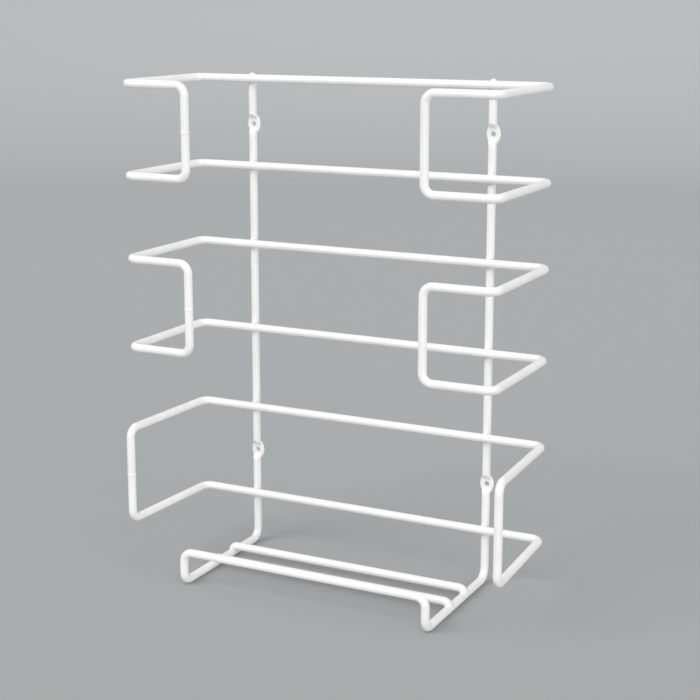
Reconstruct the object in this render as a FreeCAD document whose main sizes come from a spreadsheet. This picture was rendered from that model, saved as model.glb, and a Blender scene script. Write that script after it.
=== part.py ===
import FreeCAD, Part
import math
import os

import Sketcher
from FreeCAD import Placement, Rotation, Vector

# Wall rack for three stacked glove boxes, bent and welded from one gauge of coated wire.
# Part frame: millimetres, +Z up, the box openings face -Y, origin at the bottom centre of
# the whole rack's bounding box, so z = 0 is the surface the base arms stand on.

DIMENSIONS = [
    ("wire_diameter", 5.5, "wire with its coating, every piece"),
    ("weld_setdown", 0.7, "how far crossing wires sink into each other"),
    ("frame_depth", 98.8, "upright centre line to lip bar centre line"),
    ("upright_spacing", 178, "between the two uprights' centre lines"),
    ("upright_height", 339.3, "standing surface to the domed wire ends"),
    ("upright_bend", 8, "centre line radius, upright to base arm"),
    ("lip_bend", 6.5, "centre line radius, base arm to riser to lip bar"),
    ("lip_level", 24, "centre line height of the front lip bar"),
    ("eyelet_level", 69, "height of the lower pair of screw holes"),
    ("eyelet_pitch", 235, "lower pair to upper pair of screw holes"),
    ("eyelet_width", 9.7, "widest part of the flattened eyelet"),
    ("eyelet_length", 14, "length of wire that the coining press spreads"),
    ("eyelet_thickness", 2.2, "between the eyelet's flats"),
    ("eyelet_bulge", 3.6, "thickness of the spread metal before its flats are cut"),
    ("eyelet_proud", 0.1, "eyelet's rear flat behind the wire's rear side, so it bears on the wall"),
    ("eyelet_flat", 3.4, "half length of the front flat before its ramps"),
    ("eyelet_overcut", 1, "how far the eyelet's ramps run out past the wire"),
    ("eyelet_ramp_bend", 2.5, "radius between the front flat and its ramps"),
    ("screw_hole", 3.6, "screw hole diameter"),
    ("screw_hole_rim", 0.4, "rounding of the screw hole's front rim"),
    ("loop_width", 260, "between the side arms' centre lines"),
    ("loop_depth", 90, "back bar centre line to front centre line"),
    ("loop_bend", 6.5, "centre line radius of every loop corner"),
    ("loop_lip", 46.5, "side arm centre line to front vertical centre line"),
    ("loop_height", 60, "between the bars of the top and middle loops"),
    ("bottom_loop_height", 64.5, "between the bars of the bottom loop"),
    ("bottom_loop_depth", 88, "bottom loop's back bar centre line to front vertical centre line"),
    ("bottom_loop_splay", 4, "how far each bottom side arm spreads outwards at its front"),
    ("bottom_loop_level", 38, "centre line height of the bottom loop's lower bar"),
    ("middle_loop_rise", 122.5, "bottom loop's lower bar to middle loop's lower bar"),
    ("top_loop_rise", 115, "middle loop's lower bar to top loop's lower bar"),
    ("seam_length", 2.6, "length of the loop's butt weld bead"),
    ("seam_height", 0.18, "how far the butt weld bead stands proud"),
    ("seam_crest", 0.9, "length of the bead's level crest"),
    ("seam_root", 0.05, "how far the bead's outline starts inside the wire"),
    ("crossbar_rise", 4.8, "crossbar centre line above the base arms' centre lines"),
    ("crossbar_bend", 3.6, "centre line radius of the crossbar's turned down ends"),
    ("crossbar_foot", 1, "crossbar's cut ends above the base arms' centre lines"),
    ("rear_crossbar_reach", 63, "lip bar centre line to rear crossbar centre line"),
    ("front_crossbar_reach", 37.5, "lip bar centre line to front crossbar centre line"),
]

# Sketch plane by the axis it is normal to: its role, the part axes that its own horizontal
# and vertical run along, and the sign that turns an offset along the axis into its own.
PLANES = {
    0: ("YZ_Plane", 1, 2, ""),
    1: ("XZ_Plane", 0, 2, "-"),
    2: ("XY_Plane", 0, 1, ""),
}

SIDES = ("-", "")
RADIUS = "Size.wire_diameter / 2"
UPRIGHT_X = "Size.upright_spacing / 2"
UPRIGHT_Y = "Size.frame_depth / 2"
SIDE_ARM_X = "Size.loop_width / 2"
CROSSING = "(Size.wire_diameter - Size.weld_setdown)"
EDGE_TOLERANCE = 1e-3


def make_sheet(doc):
    sheet = doc.addObject("Spreadsheet::Sheet", "Size")
    for row, (alias, value, note) in enumerate(DIMENSIONS, start=1):
        sheet.set(f"A{row}", alias)
        sheet.set(f"B{row}", str(value))
        sheet.set(f"C{row}", note)
        sheet.setAlias(f"B{row}", alias)
    doc.recompute()
    return sheet


def number(body, expression):
    return float(body.Document.getObject("Size").evalExpression(expression))


def make_body(doc, label, place):
    """Empty body whose own origin stands at the point place, three expressions."""
    body = doc.addObject("PartDesign::Body", label)
    for axis, expression in zip("xyz", place):
        body.setExpression(f"Placement.Base.{axis}", expression)
    return body


def attach(feature, body, normal, offset, turn=None):
    """Put a sketch or primitive on the body's own plane, offset along the plane's axes, and
    turned about the part's vertical, which is the second axis of the two upright planes."""
    role = PLANES[normal][0]
    plane = [item for item in body.Origin.OriginFeatures if item.Role == role][0]
    feature.AttachmentSupport = (plane, [""])
    feature.MapMode = "FlatFace"
    if turn:
        feature.AttachmentOffset = Placement(Vector(), Rotation(Vector(0, 1, 0), 0))
        feature.setExpression("AttachmentOffset.Rotation.Angle", turn)
    for axis, expression in offset.items():
        feature.setExpression(f"AttachmentOffset.Base.{axis}", expression)


def make_sketch(body, name, normal, level):
    sketch = body.newObject("Sketcher::SketchObject", name)
    sign = PLANES[normal][3]
    attach(sketch, body, normal, {"z": f"{sign}({level})"})
    return sketch


def pin(sketch, geometry, point, axis, expression):
    """Hold one coordinate of a point at an expression, measured from the sketch's origin."""
    kind = ("DistanceX", "DistanceY")[axis]
    value = number(sketch, expression)
    index = sketch.addConstraint(Sketcher.Constraint(kind, -1, 1, geometry, point, value))
    sketch.setExpression(f"Constraints[{index}]", expression)


def add_circle(sketch, across, along, diameter):
    centre = Vector(number(sketch, across), number(sketch, along), 0)
    radius = number(sketch, diameter) / 2
    circle = sketch.addGeometry(Part.Circle(centre, Vector(0, 0, 1), radius))
    pin(sketch, circle, 3, 0, across)
    pin(sketch, circle, 3, 1, along)
    index = sketch.addConstraint(Sketcher.Constraint("Diameter", circle, 2 * radius))
    sketch.setExpression(f"Constraints[{index}]", diameter)


def add_outline(sketch, corners):
    """Closed polygon whose corners, pairs of expressions, are all held in place."""
    points = [Vector(number(sketch, u), number(sketch, v), 0) for u, v in corners]
    first = sketch.GeometryCount
    for start, end in zip(points, points[1:] + points[:1]):
        sketch.addGeometry(Part.LineSegment(start, end))
    for index, (u, v) in enumerate(corners):
        line = first + index
        following = first + (index + 1) % len(corners)
        sketch.addConstraint(Sketcher.Constraint("Coincident", line, 2, following, 1))
        pin(sketch, line, 1, 0, u)
        pin(sketch, line, 1, 1, v)


def draw_path(sketch, corners, bends):
    """Open line of straight runs through the corners, with an arc at each inner corner. The two
    construction points at its ends are returned."""
    points = [Vector(number(sketch, u), number(sketch, v), 0) for u, v in corners]
    radii = [number(sketch, bend) for bend in bends]
    ways = [(end - start).normalize() for start, end in zip(points, points[1:])]
    setbacks = [0]
    for radius, way, following in zip(radii, ways, ways[1:]):
        setbacks.append(radius * math.tan(way.getAngle(following) / 2))
    setbacks.append(0)

    marks = []
    for point, (u, v) in zip(points, corners):
        mark = sketch.addGeometry(Part.Point(point), True)
        pin(sketch, mark, 1, 0, u)
        pin(sketch, mark, 1, 1, v)
        marks.append(mark)
    runs = []
    for index, way in enumerate(ways):
        start = points[index] + way * setbacks[index]
        end = points[index + 1] - way * setbacks[index + 1]
        run = sketch.addGeometry(Part.LineSegment(start, end))
        for here, end_of_run in ((index, 1), (index + 1, 2)):
            if here in (0, len(ways)):
                held = Sketcher.Constraint("Coincident", run, end_of_run, marks[here], 1)
            else:
                held = Sketcher.Constraint("PointOnObject", marks[here], 1, run)
            sketch.addConstraint(held)
        runs.append((run, start, end))
    for index, bend in enumerate(bends):
        run, _, start = runs[index]
        following, end, _ = runs[index + 1]
        corner = points[index + 1]
        inwards = (ways[index + 1] - ways[index]).normalize()
        half_turn = ways[index].getAngle(ways[index + 1]) / 2
        middle = corner + inwards * radii[index] * (1 / math.cos(half_turn) - 1)
        arc = sketch.addGeometry(Part.Arc(start, middle, end))
        left_turn = ways[index].cross(ways[index + 1]).z > 0
        near, far = (1, 2) if left_turn else (2, 1)
        sketch.addConstraint(Sketcher.Constraint("Tangent", run, 2, arc, near))
        sketch.addConstraint(Sketcher.Constraint("Tangent", following, 1, arc, far))
        held = sketch.addConstraint(Sketcher.Constraint("Radius", arc, radii[index]))
        sketch.setExpression(f"Constraints[{held}]", bend)
    return marks[0], marks[-1]


def add_bent_outline(sketch, corners, bends):
    """Closed outline: an open line with arcs at its inner corners, and one run that closes it."""
    first, last = draw_path(sketch, corners, bends)
    start, end = (Vector(number(sketch, u), number(sketch, v), 0) for u, v in (corners[-1], corners[0]))
    closing = sketch.addGeometry(Part.LineSegment(start, end))
    sketch.addConstraint(Sketcher.Constraint("Coincident", closing, 1, last, 1))
    sketch.addConstraint(Sketcher.Constraint("Coincident", closing, 2, first, 1))


def add_pipe(body, name, path, heading, start):
    """Round wire swept along the path, whose first run heads along one axis from start."""
    _, across, along, _ = PLANES[heading]
    section = make_sketch(body, f"{name}_section", heading, start[heading])
    add_circle(section, start[across], start[along], "Size.wire_diameter")
    pipe = body.newObject("PartDesign::AdditivePipe", name)
    pipe.Profile = section
    pipe.Spine = path
    body.Document.recompute()


def add_wire(body, name, corners, bends):
    """Round wire along a flat path: corners are (x, y, z) expressions, the first run is square."""
    normal = [axis for axis in range(3) if len({corner[axis] for corner in corners}) == 1][-1]
    _, across, along, _ = PLANES[normal]
    path = make_sketch(body, f"{name}_path", normal, corners[0][normal])
    draw_path(path, [(corner[across], corner[along]) for corner in corners], bends)
    heading = [axis for axis in range(3) if corners[0][axis] != corners[1][axis]][0]
    add_pipe(body, name, path, heading, corners[0])


def add_pocket(body, name, sketch):
    """Cut the sketch right through the body, both ways; it must remove material."""
    before = body.Shape.Volume
    pocket = body.newObject("PartDesign::Pocket", name)
    pocket.Profile = sketch
    pocket.Type = "ThroughAll"
    pocket.SideType = "Symmetric"
    body.Document.recompute()
    if body.Shape.Volume >= before:
        raise RuntimeError(f"{name} cuts nothing")
    return pocket


def add_frame_wire(doc):
    """The one long wire: upright, base arm, riser, lip bar, and back up the other side."""
    body = make_body(doc, "main_frame_wire", ("0", "0", "0"))
    arm = RADIUS
    riser_middle = f"({RADIUS} + Size.lip_level) / 2"
    lip_y = f"-{UPRIGHT_Y}"
    for number_of_side, side in enumerate(SIDES):
        x = f"{side}{UPRIGHT_X}"
        add_wire(
            body,
            ("left_side", "right_side")[number_of_side],
            [
                (x, UPRIGHT_Y, f"Size.upright_height - {RADIUS}"),
                (x, UPRIGHT_Y, arm),
                (x, lip_y, arm),
                (x, lip_y, riser_middle),
            ],
            ["Size.upright_bend", "Size.lip_bend"],
        )
        if number_of_side == 0:
            add_lip_bar(body, lip_y, riser_middle)
    for number_of_side, side in enumerate(SIDES):
        add_domed_end(body, number_of_side, f"{side}{UPRIGHT_X}")
        for pair in range(2):
            add_spread_metal(body, number_of_side, pair, f"{side}{UPRIGHT_X}")
    add_eyelet_flats(body)
    add_screw_holes(body)
    return body


def add_lip_bar(body, lip_y, riser_middle):
    add_wire(
        body,
        "lip_bar",
        [
            (f"-{UPRIGHT_X}", lip_y, riser_middle),
            (f"-{UPRIGHT_X}", lip_y, "Size.lip_level"),
            (UPRIGHT_X, lip_y, "Size.lip_level"),
            (UPRIGHT_X, lip_y, riser_middle),
        ],
        ["Size.lip_bend", "Size.lip_bend"],
    )


def add_domed_end(body, number_of_side, x):
    dome = body.newObject("PartDesign::AdditiveSphere", f"domed_end_{number_of_side + 1}")
    dome.setExpression("Radius", RADIUS)
    centre_level = f"Size.upright_height - {RADIUS}"
    attach(dome, body, 2, {"x": x, "y": UPRIGHT_Y, "z": centre_level})
    body.Document.recompute()


def eyelet_height(pair):
    return ("Size.eyelet_level", "(Size.eyelet_level + Size.eyelet_pitch)")[pair]


def rear_flat():
    return f"{UPRIGHT_Y} + {RADIUS} + Size.eyelet_proud"


def add_spread_metal(body, number_of_side, pair, x):
    """Metal that the press squeezes out to the sides, an ellipsoid before it is flattened."""
    name = f"eyelet_{number_of_side + 1}_{pair + 1}"
    lens = body.newObject("PartDesign::AdditiveEllipsoid", name)
    lens.setExpression("Radius1", "Size.eyelet_bulge / 2")
    lens.setExpression("Radius2", "Size.eyelet_width / 2")
    lens.setExpression("Radius3", "Size.eyelet_length / 2")
    y = f"{rear_flat()} - Size.eyelet_thickness / 2"
    attach(lens, body, 1, {"x": x, "y": eyelet_height(pair), "z": f"-({y})"})
    body.Document.recompute()


def add_eyelet_flats(body):
    """Front flat with its two ramps, and the shallow rear flat, at both heights."""
    sketch = make_sketch(body, "eyelet_flats_outline", 0, "0")
    back = rear_flat()
    front = f"{back} - Size.eyelet_thickness"
    outside_back = f"{back} + Size.wire_diameter"
    outside_front = f"{UPRIGHT_Y} - {RADIUS} - Size.eyelet_overcut"
    half = "Size.eyelet_length / 2"
    for pair in range(2):
        z = eyelet_height(pair)
        front_corners = [
            (outside_front, f"{z} - {half} - Size.eyelet_overcut"),
            (front, f"{z} - Size.eyelet_flat"),
            (front, f"{z} + Size.eyelet_flat"),
            (outside_front, f"{z} + {half} + Size.eyelet_overcut"),
        ]
        back_corners = [
            (back, f"{z} - {half}"),
            (outside_back, f"{z} - Size.eyelet_length"),
            (outside_back, f"{z} + Size.eyelet_length"),
            (back, f"{z} + {half}"),
        ]
        add_bent_outline(sketch, front_corners, ["Size.eyelet_ramp_bend"] * 2)
        add_outline(sketch, back_corners)
    add_pocket(body, "eyelet_flats", sketch)


def add_screw_holes(body):
    sketch = make_sketch(body, "screw_hole_circles", 1, "0")
    for side in SIDES:
        for pair in range(2):
            add_circle(sketch, f"{side}{UPRIGHT_X}", eyelet_height(pair), "Size.screw_hole")
    holes = add_pocket(body, "screw_holes", sketch)
    round_the_hole = math.pi * number(body, "Size.screw_hole")
    front = number(body, f"{rear_flat()} - Size.eyelet_thickness")
    rims = []
    for index, edge in enumerate(body.Shape.Edges, start=1):
        is_round = abs(edge.Length - round_the_hole) < EDGE_TOLERANCE
        is_in_front = abs(edge.CenterOfMass.y - front) < EDGE_TOLERANCE
        if is_round and is_in_front:
            rims.append(f"Edge{index}")
    rim = body.newObject("PartDesign::Fillet", "screw_hole_rims")
    rim.Base = (holes, rims)
    rim.setExpression("Radius", "Size.screw_hole_rim")
    body.Document.recompute()


def add_weld_saddles(body):
    """Notches that the two uprights leave in the rear side of a loop's back bars."""
    sketch = make_sketch(body, "weld_saddle_circles", 2, "0")
    for side in SIDES:
        add_circle(sketch, f"{side}{UPRIGHT_X}", CROSSING, "Size.wire_diameter")
    add_pocket(body, "weld_saddles", sketch)


def add_seam(body, x, y, z):
    """Low bead round the front vertical where the loop's two ends are butt welded."""
    sketch = body.newObject("Sketcher::SketchObject", "seam_outline")
    attach(sketch, body, 1, {"x": x, "y": z, "z": f"-({y})"})
    crest = f"{RADIUS} + Size.seam_height"
    foot = f"{RADIUS} - Size.seam_root"
    half = "Size.seam_length / 2"
    corners = [
        (foot, f"-{half}"),
        (crest, "-Size.seam_crest / 2"),
        (crest, "Size.seam_crest / 2"),
        (foot, half),
    ]
    add_outline(sketch, corners)
    seam = body.newObject("PartDesign::Revolution", "butt_weld_seam")
    seam.Profile = sketch
    seam.ReferenceAxis = (sketch, ["V_Axis"])
    seam.Angle = 360
    body.Document.recompute()


def add_lipped_loop(doc, label, level):
    """Top or middle loop: its side arms turn inwards at the front into two short lips."""
    body = make_body(doc, label, ("0", f"{UPRIGHT_Y} - {CROSSING}", level))
    vertical_x = f"({SIDE_ARM_X} - Size.loop_lip)"
    lip_middle = f"({SIDE_ARM_X} - Size.loop_lip / 2)"
    front = "-Size.loop_depth"

    def add_run(name, z):
        corners = [
            (f"-{lip_middle}", front, z),
            (f"-{SIDE_ARM_X}", front, z),
            (f"-{SIDE_ARM_X}", "0", z),
            (SIDE_ARM_X, "0", z),
            (SIDE_ARM_X, front, z),
            (lip_middle, front, z),
        ]
        add_wire(body, name, corners, ["Size.loop_bend"] * 4)

    def add_front_bracket(name, side):
        corners = [
            (f"{side}{lip_middle}", front, "0"),
            (f"{side}{vertical_x}", front, "0"),
            (f"{side}{vertical_x}", front, "Size.loop_height"),
            (f"{side}{lip_middle}", front, "Size.loop_height"),
        ]
        add_wire(body, name, corners, ["Size.loop_bend"] * 2)

    add_run("lower_run", "0")
    add_front_bracket("left_front", "-")
    add_run("upper_run", "Size.loop_height")
    add_front_bracket("right_front", "")
    add_weld_saddles(body)
    add_seam(body, f"-{vertical_x}", front, "Size.loop_height / 2")
    return body


def add_bottom_loop(doc):
    """Bottom loop: no lips. Its side arms spread a little and turn straight up at the front."""
    place = ("0", f"{UPRIGHT_Y} - {CROSSING}", "Size.bottom_loop_level")
    body = make_body(doc, "bottom_retaining_loop", place)
    depth = "Size.bottom_loop_depth"
    splay = "Size.bottom_loop_splay"
    height = "Size.bottom_loop_height"
    arm_length = f"sqrt({depth} ^ 2 + {splay} ^ 2)"
    arm_middle = (f"({SIDE_ARM_X} + {splay} / 2)", f"-{depth} / 2")
    front_x = f"({SIDE_ARM_X} + {splay})"

    def add_back_half(name, side, z):
        corners = [
            ("0", "0", z),
            (f"{side}{SIDE_ARM_X}", "0", z),
            (f"{side}{arm_middle[0]}", arm_middle[1], z),
        ]
        add_wire(body, name, corners, ["Size.loop_bend"])

    def add_front_half(name, side, z):
        """Half a front vertical and its arm, drawn in the arm's own upright plane."""
        path = body.newObject("Sketcher::SketchObject", f"{name}_path")
        turn = f"{side}atan({splay} / {depth})"
        attach(path, body, 0, {"z": f"{side}{SIDE_ARM_X}"}, turn)
        corners = [
            (f"-{arm_length}", f"{height} / 2"),
            (f"-{arm_length}", z),
            (f"-{arm_length} / 2", z),
        ]
        draw_path(path, corners, ["Size.loop_bend"])
        add_pipe(body, name, path, 2, (f"{side}{front_x}", f"-{depth}", f"{height} / 2"))

    add_back_half("lower_left_back", "-", "0")
    add_front_half("lower_left_front", "-", "0")
    add_front_half("upper_left_front", "-", height)
    add_back_half("upper_left_back", "-", height)
    add_back_half("upper_right_back", "", height)
    add_front_half("upper_right_front", "", height)
    add_front_half("lower_right_front", "", "0")
    add_back_half("lower_right_back", "", "0")
    add_weld_saddles(body)
    add_seam(body, f"-{front_x}", f"-{depth}", f"{height} / 2")
    return body


def add_crossbar(doc, label, reach):
    """Staple that ties the base arms together, its turned down ends welded on top of them."""
    body = make_body(doc, label, ("0", f"{reach} - {UPRIGHT_Y}", RADIUS))
    foot = "Size.crossbar_foot"
    corners = [
        (f"-{UPRIGHT_X}", "0", foot),
        (f"-{UPRIGHT_X}", "0", "Size.crossbar_rise"),
        (UPRIGHT_X, "0", "Size.crossbar_rise"),
        (UPRIGHT_X, "0", foot),
    ]
    add_wire(body, "staple", corners, ["Size.crossbar_bend"] * 2)
    sketch = make_sketch(body, "base_arm_circles", 1, "0")
    for side in SIDES:
        add_circle(sketch, f"{side}{UPRIGHT_X}", "0", "Size.wire_diameter")
    add_pocket(body, "base_arm_saddles", sketch)
    return body


def check(doc, bodies):
    for item in doc.Objects:
        if {"Invalid", "Error"} & set(item.State):
            raise RuntimeError(f"{item.Name}: {item.State}")
    for body in bodies:
        shape = body.Shape
        if shape.isNull() or not shape.isValid() or len(shape.Solids) != 1:
            raise RuntimeError(f"{body.Label} is not one valid solid")


def main():
    doc = FreeCAD.newDocument("glove_box_rack")
    make_sheet(doc)
    middle_level = "(Size.bottom_loop_level + Size.middle_loop_rise)"
    bodies = [
        add_frame_wire(doc),
        add_lipped_loop(doc, "top_retaining_loop", f"{middle_level} + Size.top_loop_rise"),
        add_lipped_loop(doc, "middle_retaining_loop", middle_level),
        add_bottom_loop(doc),
        add_crossbar(doc, "rear_crossbar", "Size.rear_crossbar_reach"),
        add_crossbar(doc, "front_crossbar", "Size.front_crossbar_reach"),
    ]
    doc.recompute()
    check(doc, bodies)
    os.makedirs("parts", exist_ok=True)
    for body in bodies:
        body.Shape.exportStep(f"parts/{body.Label}.step")


main()
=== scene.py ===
import math

import bmesh
import bpy
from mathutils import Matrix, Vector


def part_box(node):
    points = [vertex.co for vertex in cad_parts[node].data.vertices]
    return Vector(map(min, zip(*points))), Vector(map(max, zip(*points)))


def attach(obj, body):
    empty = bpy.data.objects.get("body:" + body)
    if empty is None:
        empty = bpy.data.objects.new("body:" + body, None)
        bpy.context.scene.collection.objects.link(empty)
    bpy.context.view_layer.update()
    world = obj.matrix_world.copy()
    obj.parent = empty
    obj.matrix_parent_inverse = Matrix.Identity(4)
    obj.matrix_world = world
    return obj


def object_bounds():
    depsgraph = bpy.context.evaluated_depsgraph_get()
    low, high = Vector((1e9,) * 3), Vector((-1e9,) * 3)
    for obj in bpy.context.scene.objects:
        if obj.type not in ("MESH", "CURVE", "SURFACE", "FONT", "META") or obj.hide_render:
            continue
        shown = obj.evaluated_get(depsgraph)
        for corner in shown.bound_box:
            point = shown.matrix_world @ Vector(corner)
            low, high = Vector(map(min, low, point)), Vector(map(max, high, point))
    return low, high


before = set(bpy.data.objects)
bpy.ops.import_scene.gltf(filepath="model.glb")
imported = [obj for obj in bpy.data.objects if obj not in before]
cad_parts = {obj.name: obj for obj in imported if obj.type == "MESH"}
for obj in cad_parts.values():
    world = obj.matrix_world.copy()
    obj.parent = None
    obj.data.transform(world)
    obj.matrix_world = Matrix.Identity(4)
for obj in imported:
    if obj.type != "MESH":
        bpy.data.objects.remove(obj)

# A rack for three glove boxes, bent and welded from one gauge of steel wire and coated white.
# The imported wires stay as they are; this script adds the coating's fillets at the welds, the
# finish, a pale studio and the camera. Lengths are in metres, in the part's own frame.

cad_lowest, cad_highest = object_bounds()

LOOPS = ("top_retaining_loop", "middle_retaining_loop", "bottom_retaining_loop")
CROSSBARS = ("rear_crossbar", "front_crossbar")

# ---------------------------------------------------------------- the wires, read from the frame

crossbar_low, crossbar_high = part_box("rear_crossbar")
frame_low, frame_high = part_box("main_frame_wire")
WIRE_RADIUS = (crossbar_high.y - crossbar_low.y) / 2
UPRIGHT_X = crossbar_high.x - WIRE_RADIUS
# The eyelets' rear flats stand this far behind the uprights.
EYELET_PROUD = 0.0001
UPRIGHT_Y = frame_high.y - EYELET_PROUD - WIRE_RADIUS
ARM_Z = frame_low.z + WIRE_RADIUS
# The radius of a crossbar's end bend, at its centreline.
CROSSBAR_BEND = 0.0036


# ---------------------------------------------------------------- coating fillets at the welds

FULL_TURN = 360
LOOP_FILLET = 0.0011
CROSSBAR_FILLET = 0.0008
CROSSBAR_FILLET_TURN = 290
FILLET_STEPS = 72
FILLET_STEPS_ACROSS = 9
# A fillet is this much fuller than the ball leaves it, and its edges reach this far into the wires.
FILLET_LIFT = 0.00003
FILLET_ROOT = 0.0005
SOLVER_STEPS = 60
SOLVER_DAMPING = 1e-4


def nearest_on_line(point, start, direction):
    """The place nearest to point on the endless straight line that passes start along direction."""
    return start + direction * (point - start).dot(direction)


def nearest_on_upright(point, sign):
    """The place nearest to point on an upright's centreline, which stops short of its domed end."""
    level = min(point.z, frame_high.z - WIRE_RADIUS)
    return Vector((sign * UPRIGHT_X, UPRIGHT_Y, level))


def nearest_on_crossbar(point, sign, bar_y, bar_z):
    """The place nearest to point on a crossbar's centreline: the bar, its end bend and its leg."""
    bend_centre = Vector((sign * (UPRIGHT_X - CROSSBAR_BEND), bar_y, bar_z - CROSSBAR_BEND))
    outward = (point.x - bend_centre.x) * sign
    upward = point.z - bend_centre.z
    if outward < 0:
        return Vector((point.x, bar_y, bar_z))
    if upward < 0:
        return Vector((sign * UPRIGHT_X, bar_y, point.z))
    reach = math.hypot(outward, upward)
    return bend_centre + Vector((sign * outward, 0, upward)) * (CROSSBAR_BEND / reach)


def ball_centre(nearest_a, nearest_b, middle, along, rise, size):
    """Where a ball of radius size rests in the notch between two wires, in the half plane that
    holds middle, along and rise: damped least squares on its two distances to the centrelines."""
    reach = WIRE_RADIUS + size
    out, up = reach, 0.0
    for _ in range(SOLVER_STEPS):
        centre = middle + along * out + rise * up
        away_a = centre - nearest_a(centre)
        away_b = centre - nearest_b(centre)
        miss_a = away_a.length - reach
        miss_b = away_b.length - reach
        away_a.normalize()
        away_b.normalize()
        a_out, a_up = away_a.dot(along), away_a.dot(rise)
        b_out, b_up = away_b.dot(along), away_b.dot(rise)
        push_out = a_out * miss_a + b_out * miss_b
        push_up = a_up * miss_a + b_up * miss_b
        out_out = a_out * a_out + b_out * b_out + SOLVER_DAMPING
        up_up = a_up * a_up + b_up * b_up + SOLVER_DAMPING
        out_up = a_out * a_up + b_out * b_up
        spread = out_out * up_up - out_up * out_up
        out -= (up_up * push_out - out_up * push_up) / spread
        up -= (out_out * push_up - out_up * push_out) / spread
    return middle + along * out + rise * up


def weld_fillet(name, nearest_a, nearest_b, middle, rise, facing, turn, size):
    """The coating that fills the notch round a weld, as left by a ball rolled round it through
    turn degrees, half to each side of facing. A full turn makes a ring."""
    beside = rise.cross(facing)
    ring = turn == FULL_TURN
    steps = FILLET_STEPS if ring else FILLET_STEPS + 1
    mesh = bmesh.new()
    rows = []
    for step in range(steps):
        angle = math.radians(turn) * (step / FILLET_STEPS - 0.5)
        along = facing * math.cos(angle) + beside * math.sin(angle)
        centre = ball_centre(nearest_a, nearest_b, middle, along, rise, size)
        to_a = (nearest_a(centre) - centre).normalized()
        to_b = (nearest_b(centre) - centre).normalized()
        row = []
        for across in range(FILLET_STEPS_ACROSS + 1):
            share = across / FILLET_STEPS_ACROSS
            row.append(centre + to_a.slerp(to_b, share) * (size - FILLET_LIFT))
        row.append(row[-1] + to_b * FILLET_ROOT)
        row.append(row[0] + to_a * FILLET_ROOT)
        rows.append([mesh.verts.new(point) for point in row])
    rows_after = rows[1:]
    if ring:
        rows_after.append(rows[0])
    for row, after in zip(rows, rows_after):
        for across in range(len(row)):
            on = (across + 1) % len(row)
            mesh.faces.new((row[across], row[on], after[on], after[across])).smooth = True
    if not ring:
        mesh.faces.new(rows[0])
        mesh.faces.new(rows[-1])
    bmesh.ops.recalc_face_normals(mesh, faces=mesh.faces)
    data = bpy.data.meshes.new(name)
    mesh.to_mesh(data)
    mesh.free()
    fillet = bpy.data.objects.new(name, data)
    bpy.context.scene.collection.objects.link(fillet)
    return fillet


def loop_fillets(loop):
    """The four fillets where a loop's two back bars cross the frame's uprights."""
    low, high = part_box(loop)
    bar_y = high.y - WIRE_RADIUS
    fillets = []
    for level, bar_z in (("lower", low.z + WIRE_RADIUS), ("upper", high.z - WIRE_RADIUS)):
        for side, sign in (("left", -1), ("right", 1)):
            bar = Vector((0, bar_y, bar_z))
            middle = Vector((sign * UPRIGHT_X, (bar_y + UPRIGHT_Y) / 2, bar_z))
            fillets.append(weld_fillet(
                f"{loop}_{level}_{side}_weld",
                lambda point: nearest_on_line(point, bar, Vector((1, 0, 0))),
                lambda point: nearest_on_upright(point, sign),
                middle, Vector((0, 1, 0)), Vector((1, 0, 0)), FULL_TURN, LOOP_FILLET))
    return fillets


def crossbar_fillets(crossbar):
    """The two fillets where a crossbar's turned-down ends stand on the base arms. The end is
    flush with the arm's outer side, so they run round the other three sides only."""
    low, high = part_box(crossbar)
    bar_y = (low.y + high.y) / 2
    bar_z = high.z - WIRE_RADIUS
    fillets = []
    for side, sign in (("left", -1), ("right", 1)):
        arm = Vector((sign * UPRIGHT_X, 0, ARM_Z))
        middle = Vector((sign * UPRIGHT_X, bar_y, ARM_Z + WIRE_RADIUS))
        fillets.append(weld_fillet(
            f"{crossbar}_{side}_weld",
            lambda point: nearest_on_line(point, arm, Vector((0, 1, 0))),
            lambda point: nearest_on_crossbar(point, sign, bar_y, bar_z),
            middle, Vector((0, 0, 1)), Vector((-sign, 0, 0)),
            CROSSBAR_FILLET_TURN, CROSSBAR_FILLET))
    return fillets


# ---------------------------------------------------------------- finish

SHADED_WHITE = (0.83, 0.822, 0.815, 1)
CLEAR_WHITE = (0.885, 0.876, 0.87, 1)
SCUFFED_WHITE = (0.66, 0.65, 0.635, 1)


def noise(tree, place, scale, detail):
    """A noise texture's value in the part's own frame."""
    made = tree.nodes.new("ShaderNodeTexNoise")
    made.inputs["Scale"].default_value = scale
    made.inputs["Detail"].default_value = detail
    tree.links.new(place, made.inputs["Vector"])
    return made.outputs["Fac"]


def remap(tree, value, span, new_span):
    """The value, carried over from one span of numbers, first and last, to a new one."""
    made = tree.nodes.new("ShaderNodeMapRange")
    made.inputs["From Min"].default_value = span[0]
    made.inputs["From Max"].default_value = span[1]
    made.inputs["To Min"].default_value = new_span[0]
    made.inputs["To Max"].default_value = new_span[1]
    tree.links.new(value, made.inputs["Value"])
    return made.outputs["Result"]


def tinted(tree, share, colour, other):
    """The colour, fixed or from a node, where share is 0, and the other colour where it is 1."""
    made = tree.nodes.new("ShaderNodeMix")
    made.data_type = "RGBA"
    # Sockets for other kinds of data share these names, so the colour ones are taken by number.
    share_socket, colour_socket, other_socket = made.inputs[0], made.inputs[6], made.inputs[7]
    tree.links.new(share, share_socket)
    if isinstance(colour, tuple):
        colour_socket.default_value = colour
    else:
        tree.links.new(colour, colour_socket)
    other_socket.default_value = other
    return made.outputs[2]


def combined(tree, operation, first, second):
    """Two values, added or multiplied."""
    made = tree.nodes.new("ShaderNodeMath")
    made.operation = operation
    tree.links.new(first, made.inputs[0])
    tree.links.new(second, made.inputs[1])
    return made.outputs["Value"]


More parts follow.
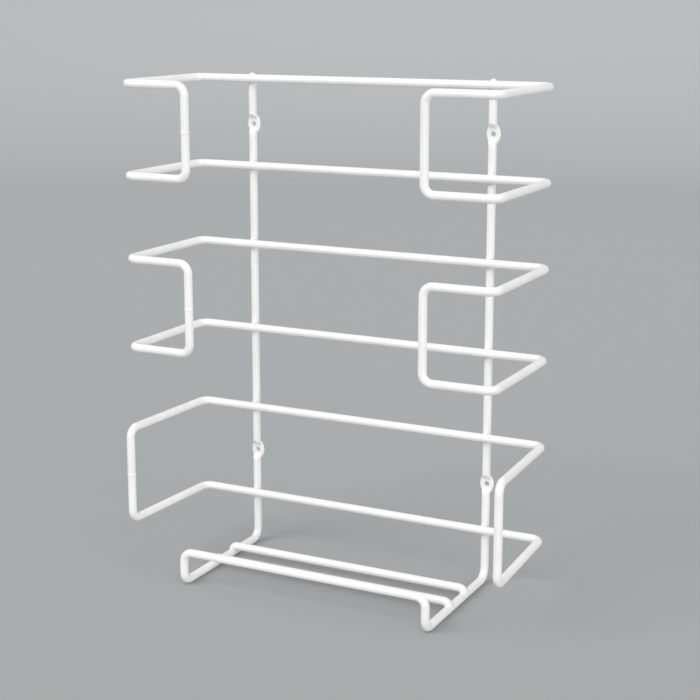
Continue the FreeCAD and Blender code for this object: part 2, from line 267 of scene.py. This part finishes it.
def bump(tree, height, strength, distance):
    """A bump node that raises the surface by height."""
    made = tree.nodes.new("ShaderNodeBump")
    made.inputs["Strength"].default_value = strength
    made.inputs["Distance"].default_value = distance
    tree.links.new(height, made.inputs["Height"])
    return made


def coated_wire():
    """Semi-gloss white powder coat: orange peel, clouds of tone, small dull scuffs where boxes
    rub past, and a few dust nibs baked in."""
    material = bpy.data.materials.new("white powder coat")
    material.use_nodes = True
    tree = material.node_tree
    link = tree.links.new
    shader = tree.nodes["Principled BSDF"]
    shader.inputs["IOR"].default_value = 1.5
    shader.inputs["Coat Weight"].default_value = 0.25
    shader.inputs["Coat Roughness"].default_value = 0.2
    place = tree.nodes.new("ShaderNodeTexCoord").outputs["Object"]

    clouds = remap(tree, noise(tree, place, scale=45, detail=3), (0.35, 0.65), (0, 1))
    scuffs = remap(tree, noise(tree, place, scale=420, detail=5), (0.62, 0.74), (0, 1))
    rubbed = remap(tree, noise(tree, place, scale=22, detail=2), (0.5, 0.62), (0, 1))
    worn = combined(tree, "MULTIPLY", scuffs, rubbed)
    white = tinted(tree, clouds, SHADED_WHITE, CLEAR_WHITE)
    link(tinted(tree, worn, white, SCUFFED_WHITE), shader.inputs["Base Color"])

    satin = remap(tree, noise(tree, place, scale=130, detail=4), (0.3, 0.7), (0.27, 0.42))
    dulled = remap(tree, worn, (0, 1), (0, 0.25))
    link(combined(tree, "ADD", satin, dulled), shader.inputs["Roughness"])

    peel = bump(tree, noise(tree, place, scale=520, detail=2), strength=0.5, distance=0.00012)
    cells = tree.nodes.new("ShaderNodeTexVoronoi")
    cells.inputs["Scale"].default_value = 160
    link(place, cells.inputs["Vector"])
    dots = remap(tree, cells.outputs["Distance"], (0.04, 0.1), (1, 0))
    nibs = bump(tree, dots, strength=0.4, distance=0.0001)
    link(peel.outputs["Normal"], nibs.inputs["Normal"])
    link(nibs.outputs["Normal"], shader.inputs["Normal"])
    return material


# ---------------------------------------------------------------- studio

# The radii of the flat floor's rings of points; the wall's bend begins at the last one.
FLOOR_RINGS = (0.3, 1.0, 2.2)
WALL_BEND = 0.9
WALL_BEND_STEPS = 16
WALL_HEIGHT = 1.3
STUDIO_SIDES = 128


def studio():
    """A pale floor that curves up into a round wall, so that every side has the same backdrop."""
    floor_radius = FLOOR_RINGS[-1]
    outline = [(radius, 0.0) for radius in FLOOR_RINGS]
    for step in range(1, WALL_BEND_STEPS + 1):
        angle = math.radians(90 * step / WALL_BEND_STEPS)
        outline.append((floor_radius + WALL_BEND * math.sin(angle), WALL_BEND * (1 - math.cos(angle))))
    outline.append((floor_radius + WALL_BEND, WALL_HEIGHT))
    mesh = bmesh.new()
    rings = []
    for radius, level in outline:
        ring = []
        for side in range(STUDIO_SIDES):
            angle = 2 * math.pi * side / STUDIO_SIDES
            ring.append(mesh.verts.new((radius * math.cos(angle), radius * math.sin(angle), level)))
        rings.append(ring)
    mesh.faces.new(rings[0])
    for inner, outer in zip(rings, rings[1:]):
        for side in range(STUDIO_SIDES):
            beside = (side + 1) % STUDIO_SIDES
            mesh.faces.new((inner[side], outer[side], outer[beside], inner[beside])).smooth = True
    data = bpy.data.meshes.new("studio_floor")
    mesh.to_mesh(data)
    mesh.free()
    floor = bpy.data.objects.new("studio_floor", data)
    bpy.context.scene.collection.objects.link(floor)
    material = bpy.data.materials.new("pale paper")
    material.use_nodes = True
    shader = material.node_tree.nodes["Principled BSDF"]
    shader.inputs["Base Color"].default_value = (0.36, 0.365, 0.37, 1)
    shader.inputs["Roughness"].default_value = 0.85
    floor.data.materials.append(material)
    floor.visible_shadow = False


def soft_sun(name, turn, rise, spread, strength):
    """A sun turn degrees to the right of the front and rise degrees up, spread degrees wide."""
    data = bpy.data.lights.new(name, "SUN")
    data.energy = strength
    data.angle = math.radians(spread)
    light = bpy.data.objects.new(name, data)
    turn, rise = math.radians(turn), math.radians(rise)
    source = Vector((
        math.sin(turn) * math.cos(rise),
        -math.cos(turn) * math.cos(rise),
        math.sin(rise)))
    light.rotation_mode = "QUATERNION"
    light.rotation_quaternion = (-source).to_track_quat("-Z", "Y")
    bpy.context.scene.collection.objects.link(light)


def lighting():
    """Soft light from above and the left, a low fill from the right, and an even sky."""
    soft_sun("key", turn=-35, rise=32, spread=40, strength=1.75)
    soft_sun("fill", turn=60, rise=8, spread=60, strength=1.7)
    world = bpy.data.worlds.new("studio air")
    bpy.context.scene.world = world
    world.use_nodes = True
    sky = world.node_tree.nodes["Background"]
    sky.inputs["Color"].default_value = (1, 1, 1, 1)
    sky.inputs["Strength"].default_value = 0.74


def camera(centre):
    """Three-quarter view from the front right, looking slightly down."""
    turn = math.radians(26.85)
    dip = math.radians(11.65)
    distance = 0.9968
    aim_right = 0.0102
    aim_up = 0.0208
    forward = Vector((
        -math.sin(turn) * math.cos(dip),
        math.cos(turn) * math.cos(dip),
        -math.sin(dip)))
    right = Vector((math.cos(turn), math.sin(turn), 0))
    up = right.cross(forward)
    data = bpy.data.cameras.new("camera")
    data.lens = 78.01
    data.sensor_width = 36
    data.shift_y = -0.06
    made = bpy.data.objects.new("camera", data)
    made.location = centre + right * aim_right + up * aim_up - forward * distance
    made.rotation_mode = "QUATERNION"
    made.rotation_quaternion = forward.to_track_quat("-Z", "Y")
    bpy.context.scene.collection.objects.link(made)
    bpy.context.scene.camera = made


# ---------------------------------------------------------------- putting it together

coat = coated_wire()
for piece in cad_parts.values():
    piece.data.materials.clear()
    piece.data.materials.append(coat)

fillets = []
for loop in LOOPS:
    fillets += loop_fillets(loop)
for crossbar in CROSSBARS:
    fillets += crossbar_fillets(crossbar)
for ring in fillets:
    ring.data.materials.append(coat)
    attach(ring, "root")

middle = (cad_lowest + cad_highest) / 2
studio()
lighting()
camera(middle)
bpy.context.scene.view_settings.view_transform = "Standard"
